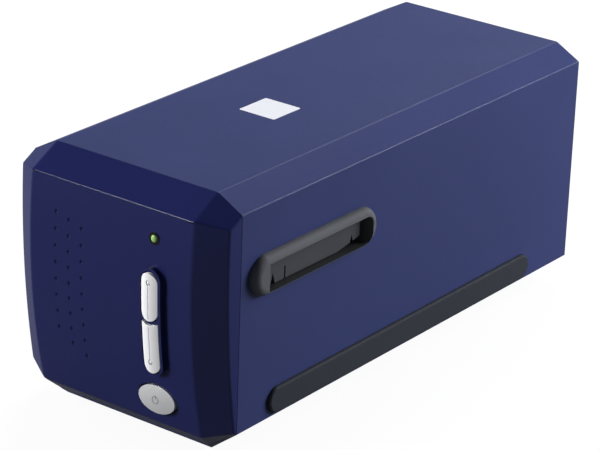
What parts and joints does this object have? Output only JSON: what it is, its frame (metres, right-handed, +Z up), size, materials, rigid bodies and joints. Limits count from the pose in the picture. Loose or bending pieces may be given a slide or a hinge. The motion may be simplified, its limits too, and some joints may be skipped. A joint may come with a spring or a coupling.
{
  "type": "film scanner",
  "caption": "Long box-shaped desktop scanner for film strips and slides, with a side film slot, front keys and a screw-driven scan carriage inside.",
  "frame": {"origin": "middle of the footprint, on the surface that the rubber feet stand on", "axes": "+Z up, -Y the front with the keys, +X the side where the film holder goes in; +Y is the longest way, front to rear"},
  "size_m": [0.12, 0.272, 0.1185],
  "materials": {
    "front_plastic": "satin",
    "cover_plastic": "satin",
    "tray_plastic": "matte",
    "trim_plastic": "satin",
    "key_silver": "satin",
    "key_chrome": "polished",
    "green_lens": "gloss",
    "black_plastic": "matte",
    "white_plastic": "satin",
    "white_diffuser": "matte",
    "black_rubber": "matte",
    "strip_rubber": "matte",
    "board_green": "satin",
    "ceramic_black": "matte",
    "sheet_steel": "satin",
    "bright_steel": "polished",
    "spring_steel": "satin",
    "black_steel": "matte",
    "carriage_casting": "matte",
    "mirror_glass": "polished",
    "bronze_bush": "satin"
  },
  "bodies": {
    "housing": {"front_bezel": "front_plastic", "top_cover": "cover_plastic", "base_tray": "tray_plastic", "rear_panel": "tray_plastic", "rubber_feet": "black_rubber", "switch_board": "board_green", "tact_switches": "black_plastic", "indicator_lens": "green_lens", "chassis": "sheet_steel", "guide_rods": "bright_steel", "film_track": "black_plastic", "gate_frame": "black_steel", "detent_spring": "spring_steel", "lamp_housing": "black_plastic", "lamp_diffuser": "white_diffuser", "lamp_board": "board_green", "lamp_leds": "white_diffuser", "screw_bearing": "black_plastic", "stepper_motor": "sheet_steel", "main_board": "board_green", "board_components": "ceramic_black", "usb_port": "sheet_steel", "dc_jack": "black_plastic", "housing_screws": "black_steel", "slot_surround_right": "trim_plastic", "slot_surround_left": "trim_plastic", "flap_pin_right": "bright_steel", "flap_pin_left": "bright_steel", "side_strip_right": "strip_rubber", "side_strip_left": "strip_rubber"},
    "upper_key": {"upper_scan_button": "key_silver"},
    "lower_key": {"lower_scan_button": "key_silver"},
    "power_key": {"power_button": "key_chrome"},
    "right_flap": {"dust_flap_right": "black_plastic"},
    "left_flap": {"dust_flap_left": "black_plastic"},
    "scan_head": {"carriage": "carriage_casting", "scan_mirror": "mirror_glass", "lens_barrel": "black_steel", "sensor_board": "board_green", "image_sensor": "ceramic_black", "rod_bushes": "bronze_bush", "lead_nut": "white_plastic"},
    "drive_screw": {"lead_screw": "bright_steel", "screw_gear": "white_plastic"},
    "motor_rotor": {"motor_pinion": "bronze_bush", "motor_shaft": "bright_steel"}
  },
  "joints": [
    {"name": "upper_button_press", "type": "slide", "parent": "housing", "child": "upper_key", "axis": [0, 1, 0], "range_m": [0, 0.0012], "stiffness_N_per_m": 900, "springref_m": -0.0008},
    {"name": "lower_button_press", "type": "slide", "parent": "housing", "child": "lower_key", "axis": [0, 1, 0], "range_m": [0, 0.0012], "stiffness_N_per_m": 900, "springref_m": -0.0008},
    {"name": "power_button_press", "type": "slide", "parent": "housing", "child": "power_key", "axis": [0, 1, 0], "range_m": [0, 0.0015], "stiffness_N_per_m": 700, "springref_m": -0.001},
    {"name": "right_flap_swing", "type": "hinge", "parent": "housing", "child": "right_flap", "pos_m": [0.0551, -0.06593, 0.0852], "axis": [0, 1, 0], "range_deg": [0, 80]},
    {"name": "left_flap_swing", "type": "hinge", "parent": "housing", "child": "left_flap", "pos_m": [-0.0551, -0.06593, 0.0852], "axis": [0, 1, 0], "range_deg": [0, 80]},
    {"name": "carriage_slide", "type": "slide", "parent": "housing", "child": "scan_head", "axis": [0, 1, 0], "range_m": [0, 0.0256]},
    {"name": "screw_spin", "type": "hinge", "parent": "housing", "child": "drive_screw", "pos_m": [0, 0.03, 0.031], "axis": [0, 1, 0], "range_deg": [0, 2305]},
    {"name": "pinion_spin", "type": "hinge", "parent": "housing", "child": "motor_rotor", "pos_m": [0.01446, 0.098, 0.031], "axis": [0, 1, 0], "range_deg": [-4610, 0]}
  ],
  "couplings": [
    {"joint": "screw_spin", "follows": "carriage_slide", "rad_per_m": 1570.8},
    {"joint": "pinion_spin", "follows": "carriage_slide", "rad_per_m": -3141.6}
  ]
}
